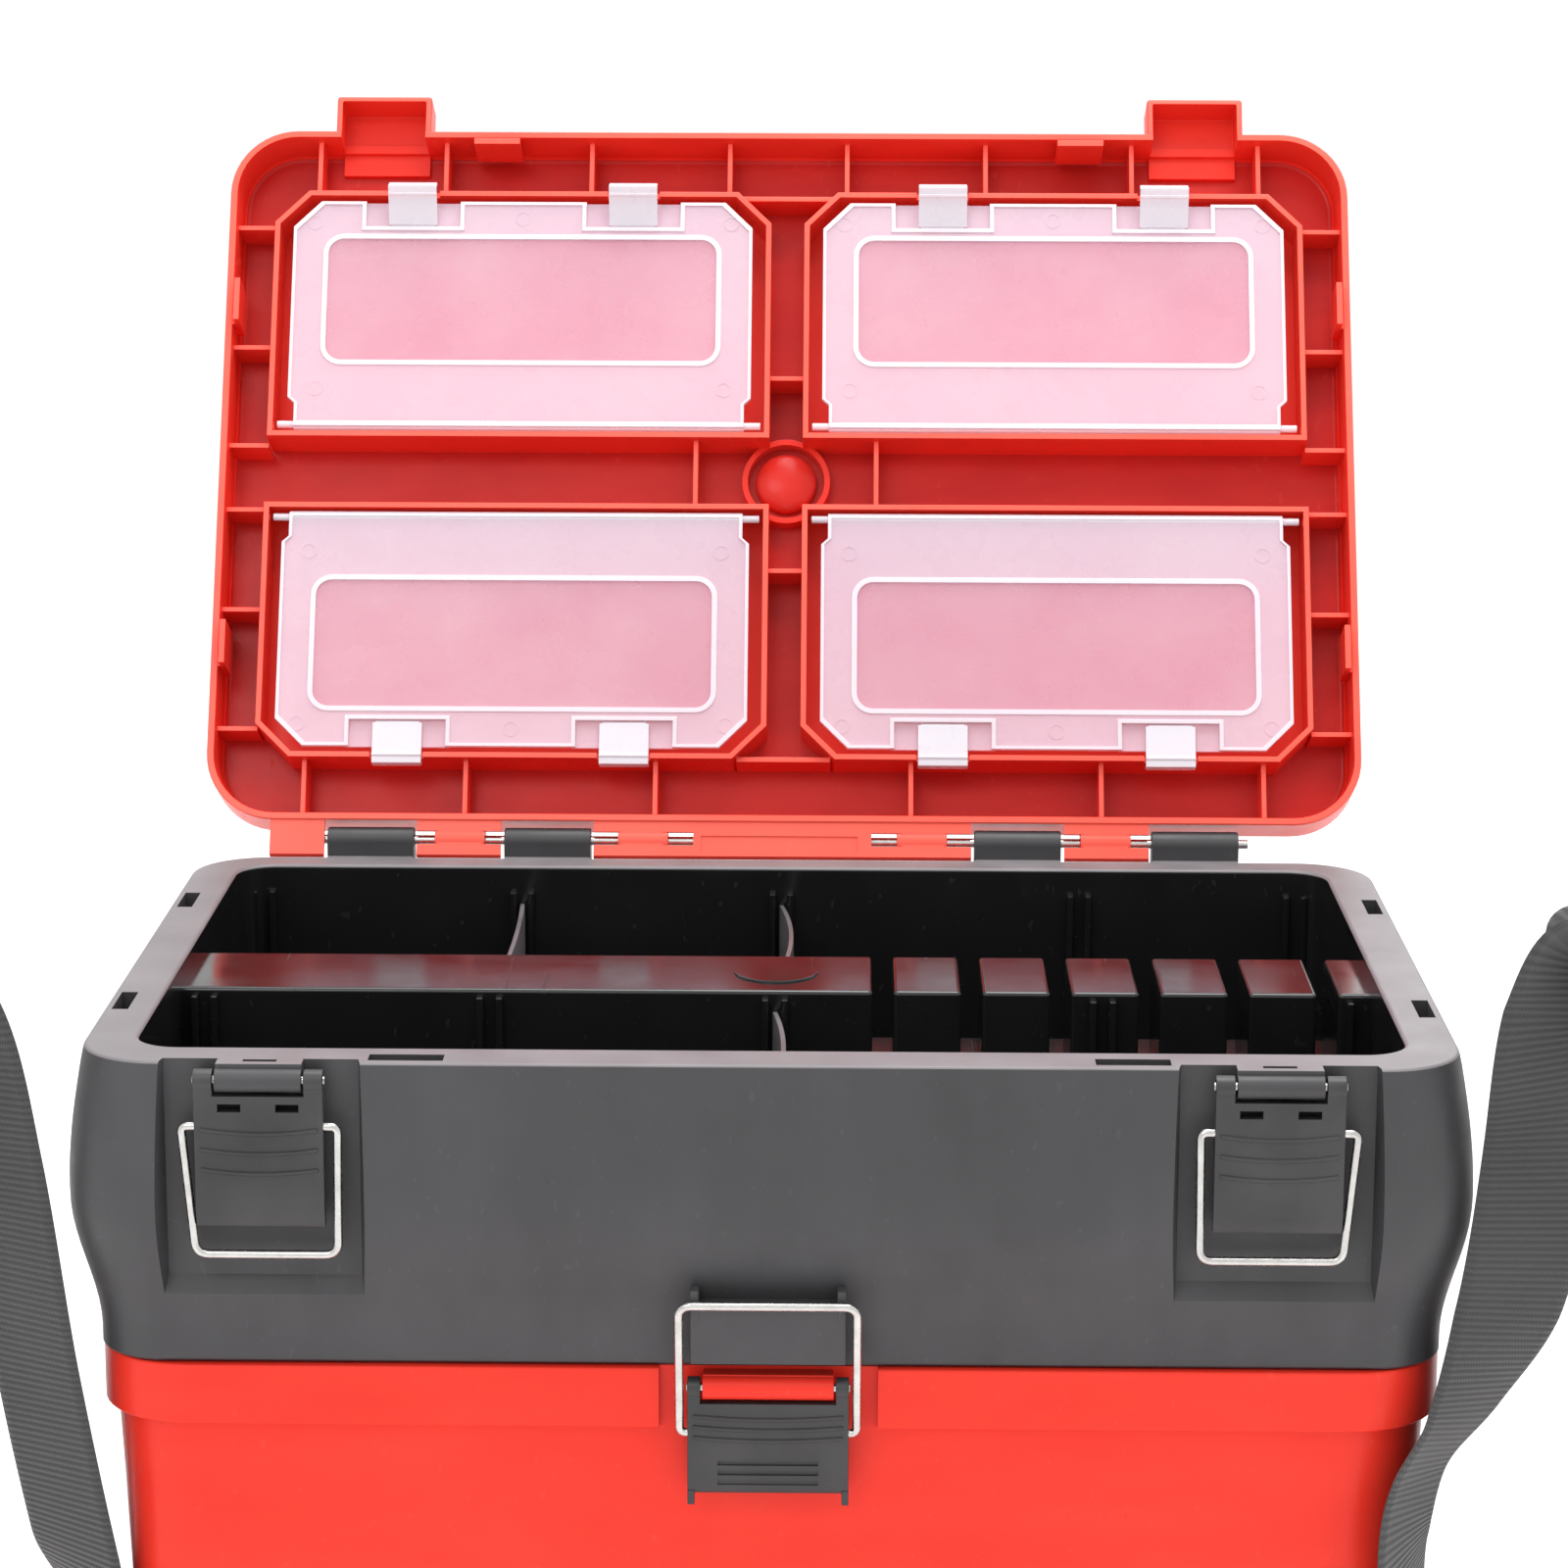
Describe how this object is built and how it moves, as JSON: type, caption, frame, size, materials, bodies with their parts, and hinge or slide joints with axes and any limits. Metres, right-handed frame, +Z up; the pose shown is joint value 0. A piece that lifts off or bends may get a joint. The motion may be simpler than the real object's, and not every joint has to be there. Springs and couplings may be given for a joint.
{
  "type": "toolbox with tray",
  "caption": "Two-section plastic tackle box: a bucket, a hinged compartment tray, a lid with lidded pockets, wire-bail latches and a shoulder strap.",
  "frame": {"origin": "middle of the bucket's underside", "axes": "+Z up, +X to the right of someone facing the front latch, the front at -Y"},
  "size_m": [0.5153, 0.3748, 0.5237],
  "materials": {
    "red_plastic": "moulded red polypropylene, soft gloss",
    "black_plastic": "moulded black polypropylene, fine matte grain",
    "clear_plastic": "frosted translucent polypropylene",
    "grey_plastic": "thin dark grey sheet",
    "steel": "bright zinc-plated steel wire",
    "webbing": "ribbed woven webbing"
  },
  "bodies": {
    "bucket": {"bucket": "red_plastic", "tray_hinge_pin_left": "steel", "tray_hinge_pin_right": "steel", "latch_pin_center": "steel", "strap_anchor_left": "black_plastic", "strap_anchor_right": "black_plastic", "strap": "webbing", "strap_keeper": "black_plastic"},
    "tray": {"tray": "black_plastic", "lid_hinge_rod_left": "steel", "lid_hinge_rod_right": "steel", "latch_pin_left": "steel", "latch_pin_right": "steel"},
    "lid": {"lid": "red_plastic", "lid_center_plug": "red_plastic"},
    "cover_top_left": {"cover_top_left": "clear_plastic"},
    "cover_top_right": {"cover_top_right": "clear_plastic"},
    "cover_bottom_left": {"cover_bottom_left": "clear_plastic"},
    "cover_bottom_right": {"cover_bottom_right": "clear_plastic"},
    "snap_top_left_a": {"snap_top_left_a": "clear_plastic"},
    "snap_top_left_b": {"snap_top_left_b": "clear_plastic"},
    "snap_top_right_a": {"snap_top_right_a": "clear_plastic"},
    "snap_top_right_b": {"snap_top_right_b": "clear_plastic"},
    "snap_bottom_left_a": {"snap_bottom_left_a": "clear_plastic"},
    "snap_bottom_left_b": {"snap_bottom_left_b": "clear_plastic"},
    "snap_bottom_right_a": {"snap_bottom_right_a": "clear_plastic"},
    "snap_bottom_right_b": {"snap_bottom_right_b": "clear_plastic"},
    "divider_back_left": {"divider_back_left": "grey_plastic"},
    "divider_back_middle": {"divider_back_middle": "grey_plastic"},
    "divider_front_middle": {"divider_front_middle": "grey_plastic"},
    "lever_left": {"lever_left": "black_plastic"},
    "bail_left": {"bail_left": "steel"},
    "lever_right": {"lever_right": "black_plastic"},
    "bail_right": {"bail_right": "steel"},
    "lever_center": {"lever_center": "black_plastic"},
    "bail_center": {"bail_center": "steel"}
  },
  "joints": [
    {"name": "tray_hinge", "type": "hinge", "parent": "bucket", "child": "tray", "pos_m": [0, 0.124, 0.2], "axis": [-1, 0, 0], "range_deg": [0, 90]},
    {"name": "lid_hinge", "type": "hinge", "parent": "tray", "child": "lid", "pos_m": [0, 0.1235, 0.2945], "axis": [-1, 0, 0], "range_deg": [-116.4, 0]},
    {"name": "cover_top_left_hinge", "type": "hinge", "parent": "lid", "child": "cover_top_left", "pos_m": [-0.0877, 0.1845, 0.41985], "axis": [1, 0, 0], "range_deg": [0, 90]},
    {"name": "cover_top_right_hinge", "type": "hinge", "parent": "lid", "child": "cover_top_right", "pos_m": [0.0877, 0.1845, 0.41985], "axis": [1, 0, 0], "range_deg": [0, 90]},
    {"name": "cover_bottom_left_hinge", "type": "hinge", "parent": "lid", "child": "cover_bottom_left", "pos_m": [-0.0877, 0.17036, 0.39137], "axis": [-1, 0, 0], "range_deg": [0, 90]},
    {"name": "cover_bottom_right_hinge", "type": "hinge", "parent": "lid", "child": "cover_bottom_right", "pos_m": [0.0877, 0.17036, 0.39137], "axis": [-1, 0, 0], "range_deg": [0, 90]},
    {"name": "snap_top_left_a_hinge", "type": "hinge", "parent": "cover_top_left", "child": "snap_top_left_a", "pos_m": [-0.1242, 0.21441, 0.48315], "axis": [1, 0, 0], "range_deg": [-35, 0]},
    {"name": "snap_top_left_b_hinge", "type": "hinge", "parent": "cover_top_left", "child": "snap_top_left_b", "pos_m": [-0.0512, 0.21441, 0.48315], "axis": [1, 0, 0], "range_deg": [-35, 0]},
    {"name": "snap_top_right_a_hinge", "type": "hinge", "parent": "cover_top_right", "child": "snap_top_right_a", "pos_m": [0.0512, 0.21441, 0.48315], "axis": [1, 0, 0], "range_deg": [-35, 0]},
    {"name": "snap_top_right_b_hinge", "type": "hinge", "parent": "cover_top_right", "child": "snap_top_right_b", "pos_m": [0.1242, 0.21441, 0.48315], "axis": [1, 0, 0], "range_deg": [-35, 0]},
    {"name": "snap_bottom_left_a_hinge", "type": "hinge", "parent": "cover_bottom_left", "child": "snap_bottom_left_a", "pos_m": [-0.1242, 0.13802, 0.32927], "axis": [-1, 0, 0], "range_deg": [0, 35]},
    {"name": "snap_bottom_left_b_hinge", "type": "hinge", "parent": "cover_bottom_left", "child": "snap_bottom_left_b", "pos_m": [-0.0512, 0.13802, 0.32927], "axis": [-1, 0, 0], "range_deg": [0, 35]},
    {"name": "snap_bottom_right_a_hinge", "type": "hinge", "parent": "cover_bottom_right", "child": "snap_bottom_right_a", "pos_m": [0.0512, 0.13802, 0.32927], "axis": [-1, 0, 0], "range_deg": [0, 35]},
    {"name": "snap_bottom_right_b_hinge", "type": "hinge", "parent": "cover_bottom_right", "child": "snap_bottom_right_b", "pos_m": [0.1242, 0.13802, 0.32927], "axis": [-1, 0, 0], "range_deg": [0, 35]},
    {"name": "lever_left_pivot", "type": "hinge", "parent": "tray", "child": "lever_left", "pos_m": [-0.135, -0.1195, 0.2855], "axis": [1, 0, 0], "range_deg": [-100, 0]},
    {"name": "lever_right_pivot", "type": "hinge", "parent": "tray", "child": "lever_right", "pos_m": [0.135, -0.1195, 0.2855], "axis": [1, 0, 0], "range_deg": [-100, 0]},
    {"name": "lever_center_pivot", "type": "hinge", "parent": "bucket", "child": "lever_center", "pos_m": [0, -0.119, 0.2005], "axis": [-1, 0, 0], "range_deg": [0, 130]},
    {"name": "bail_left_pivot", "type": "hinge", "parent": "lever_left", "child": "bail_left", "pos_m": [-0.135, -0.12025, 0.273], "axis": [-1, 0, 0], "range_deg": [0, 175]},
    {"name": "bail_right_pivot", "type": "hinge", "parent": "lever_right", "child": "bail_right", "pos_m": [0.135, -0.12025, 0.273], "axis": [-1, 0, 0], "range_deg": [0, 175]},
    {"name": "bail_center_pivot", "type": "hinge", "parent": "lever_center", "child": "bail_center", "pos_m": [0, -0.11975, 0.188], "axis": [-1, 0, 0], "range_deg": [-130, 0]},
    {"name": "divider_back_left_lift", "type": "slide", "parent": "tray", "child": "divider_back_left", "axis": [0, 0, 1], "range_m": [0, 0.07]},
    {"name": "divider_back_middle_lift", "type": "slide", "parent": "tray", "child": "divider_back_middle", "axis": [0, 0, 1], "range_m": [0, 0.07]},
    {"name": "divider_front_middle_lift", "type": "slide", "parent": "tray", "child": "divider_front_middle", "axis": [0, 0, 1], "range_m": [0, 0.07]}
  ],
  "couplings": [
    {"joint": "bail_center_pivot", "follows": "lever_center_pivot", "ratio": -1}
  ]
}
